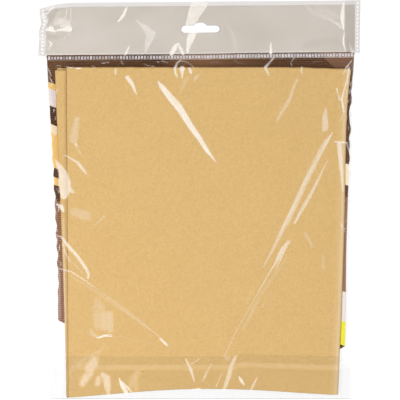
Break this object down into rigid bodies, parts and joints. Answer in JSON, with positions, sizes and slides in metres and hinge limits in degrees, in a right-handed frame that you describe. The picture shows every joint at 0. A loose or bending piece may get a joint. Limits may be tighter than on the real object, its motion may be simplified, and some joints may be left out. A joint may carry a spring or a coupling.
{
  "type": "suede cleaning cloth in a hanging bag",
  "caption": "Tan suede cleaning cloth folded in four in front of a printed card, in a clear film pouch with a slotted hanging header and a resealable bottom flap.",
  "frame": {"origin": "middle of the pack's outline, on the surface that its back lies on", "axes": "+X across the pack to the right seen from the front, +Y along the pack towards the hanging header, +Z out of its front"},
  "size_m": [0.268, 0.331, 0.0074],
  "materials": {
    "suede": "fine napped suede, matte",
    "printed_card": "smooth printed card, satin",
    "clear_film": "clear glossy film, wrinkled",
    "weld": "film fused and embossed, milky",
    "grey_strip": "translucent grey film",
    "adhesive": "clear sticky strip"
  },
  "bodies": {
    "pouch": {"pouch_back_film": "clear_film", "pouch_front_film": "clear_film", "pouch_left_seal": "weld", "pouch_right_seal": "weld", "seam_weld": "weld", "insert_card": "printed_card", "suede_cloth": "suede"},
    "header": {"header_back_film": "clear_film", "header_front_film": "clear_film", "header_strip": "grey_strip", "header_left_weld": "weld", "header_right_weld": "weld"},
    "gusset": {"flap_gusset": "clear_film"},
    "flap": {"closure_flap": "clear_film", "adhesive_strip": "adhesive"}
  },
  "joints": [
    {"name": "header_fold", "type": "hinge", "parent": "pouch", "child": "header", "pos_m": [0, 0.1212, 0.0018], "axis": [1, 0, 0], "range_deg": [0, 140]},
    {"name": "flap_unroll", "type": "hinge", "parent": "pouch", "child": "gusset", "pos_m": [0, -0.1655, 0], "axis": [1, 0, 0], "range_deg": [0, 90]},
    {"name": "flap_open", "type": "hinge", "parent": "gusset", "child": "flap", "pos_m": [0, -0.1655, 0.0074], "axis": [1, 0, 0], "range_deg": [0, 90]}
  ],
  "couplings": [
    {"joint": "flap_open", "follows": "flap_unroll", "ratio": 1}
  ]
}
